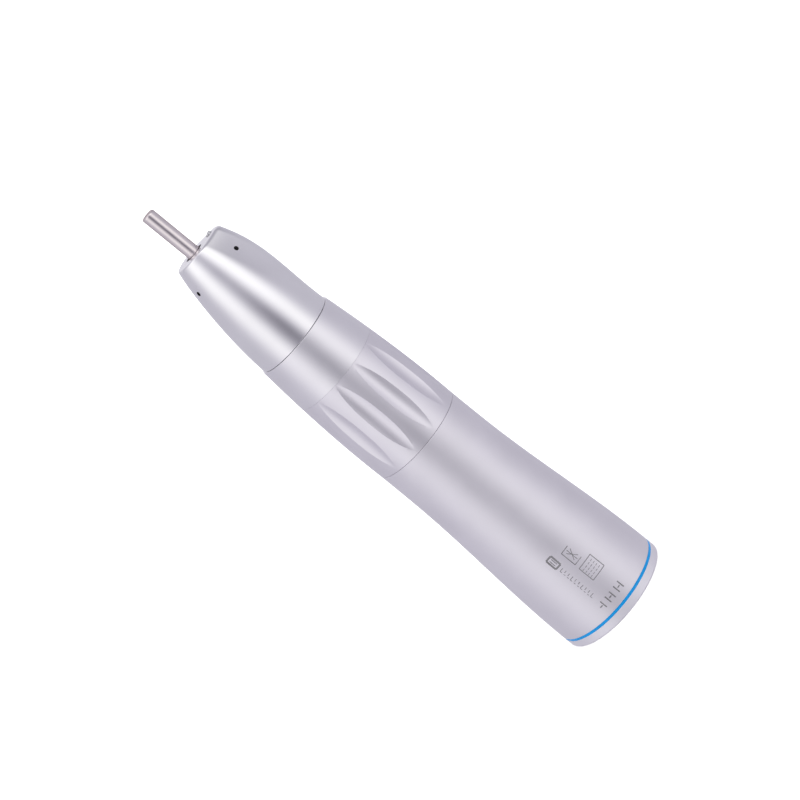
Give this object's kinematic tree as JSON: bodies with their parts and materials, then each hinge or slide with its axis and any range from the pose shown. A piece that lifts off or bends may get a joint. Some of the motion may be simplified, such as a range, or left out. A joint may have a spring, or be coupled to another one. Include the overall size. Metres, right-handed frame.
{
  "type": "straight dental handpiece",
  "caption": "Straight low-speed dental handpiece with an off-centre nose, fluted twist-lock ring, internal spray line and a shank in its collet.",
  "frame": {"origin": "centre of the rear face, where the motor seats", "axes": "+Z along the axis to the nose, +X to the side with the spray line, -Y to the marked side"},
  "size_m": [0.0204, 0.0204, 0.0953],
  "materials": {
    "satin_steel": "bead-blasted satin",
    "nose_steel": "fine satin",
    "bright_steel": "ground and polished",
    "machined_steel": "machined",
    "spring_steel": "drawn wire",
    "blue_ring": "glossy",
    "seal_rubber": "matte",
    "slide_plastic": "matte",
    "cage_plastic": "matte"
  },
  "bodies": {
    "casing": {"end_ring": "satin_steel", "ratio_ring": "blue_ring", "rear_sleeve": "satin_steel", "coupling_bush": "machined_steel", "core_tube": "machined_steel", "nose_cone": "nose_steel", "nose_seal": "seal_rubber", "water_tube": "machined_steel", "spray_nozzle": "machined_steel", "stop_pin": "machined_steel", "slide_washer": "slide_plastic", "bearing_clip": "spring_steel", "front_preload_washer": "spring_steel", "front_outer_spacer": "machined_steel", "front_bearing_b_outer_race": "bright_steel", "front_bearing_a_outer_race": "bright_steel", "rear_bearing_outer_race": "bright_steel"},
    "lock_ring": {"grip_ring": "satin_steel", "grip_collar": "satin_steel", "cam_ring": "machined_steel"},
    "release": {"release_sleeve": "machined_steel", "cam_pin_left": "bright_steel", "cam_pin_right": "bright_steel"},
    "spindle": {"spindle_tube": "machined_steel", "spindle_nut": "machined_steel", "drive_shaft": "machined_steel", "front_inner_spacer": "machined_steel", "chuck_spring": "spring_steel", "front_bearing_b_inner_race": "bright_steel", "front_bearing_a_inner_race": "bright_steel", "rear_bearing_inner_race": "bright_steel"},
    "chuck": {"collet": "bright_steel", "draw_tube": "machined_steel", "cross_pin": "bright_steel", "thrust_collar": "machined_steel", "spring_seat": "machined_steel", "shank_stop": "machined_steel"},
    "mandrel": {"test_mandrel": "bright_steel"},
    "front_cage_a": {"front_bearing_a_cage": "cage_plastic"},
    "front_cage_b": {"front_bearing_b_cage": "cage_plastic"},
    "rear_cage": {"rear_bearing_cage": "cage_plastic"}
  },
  "joints": [
    {"name": "lock_turn", "type": "hinge", "parent": "casing", "child": "lock_ring", "pos_m": [0, 0, 0.05], "axis": [0, 0, 1], "range_deg": [0, 45]},
    {"name": "release_slide", "type": "slide", "parent": "casing", "child": "release", "axis": [0, 0, 1], "range_m": [0, 0.00116]},
    {"name": "spindle_spin", "type": "hinge", "parent": "casing", "child": "spindle", "pos_m": [0, 0, 0.06], "axis": [0, 0, 1], "continuous": true},
    {"name": "chuck_slide", "type": "slide", "parent": "spindle", "child": "chuck", "axis": [0, 0, 1], "range_m": [0, 0.00101], "deforming": ["chuck_spring"]},
    {"name": "mandrel_slide", "type": "slide", "parent": "chuck", "child": "mandrel", "axis": [0, 0, 1], "range_m": [0, 0.037]},
    {"name": "front_cage_a_spin", "type": "hinge", "parent": "casing", "child": "front_cage_a", "pos_m": [0, 0, 0.0775], "axis": [0, 0, 1], "continuous": true},
    {"name": "front_cage_b_spin", "type": "hinge", "parent": "casing", "child": "front_cage_b", "pos_m": [0, 0, 0.074], "axis": [0, 0, 1], "continuous": true},
    {"name": "rear_cage_spin", "type": "hinge", "parent": "casing", "child": "rear_cage", "pos_m": [0, 0, 0.0312], "axis": [0, 0, 1], "continuous": true}
  ],
  "couplings": [
    {"joint": "release_slide", "follows": "lock_turn", "m_per_rad": 0.0014642},
    {"joint": "chuck_slide", "follows": "lock_turn", "m_per_rad": 0.0012732},
    {"joint": "front_cage_a_spin", "follows": "spindle_spin", "ratio": 0.4288},
    {"joint": "front_cage_b_spin", "follows": "spindle_spin", "ratio": 0.4288},
    {"joint": "rear_cage_spin", "follows": "spindle_spin", "ratio": 0.3987}
  ]
}
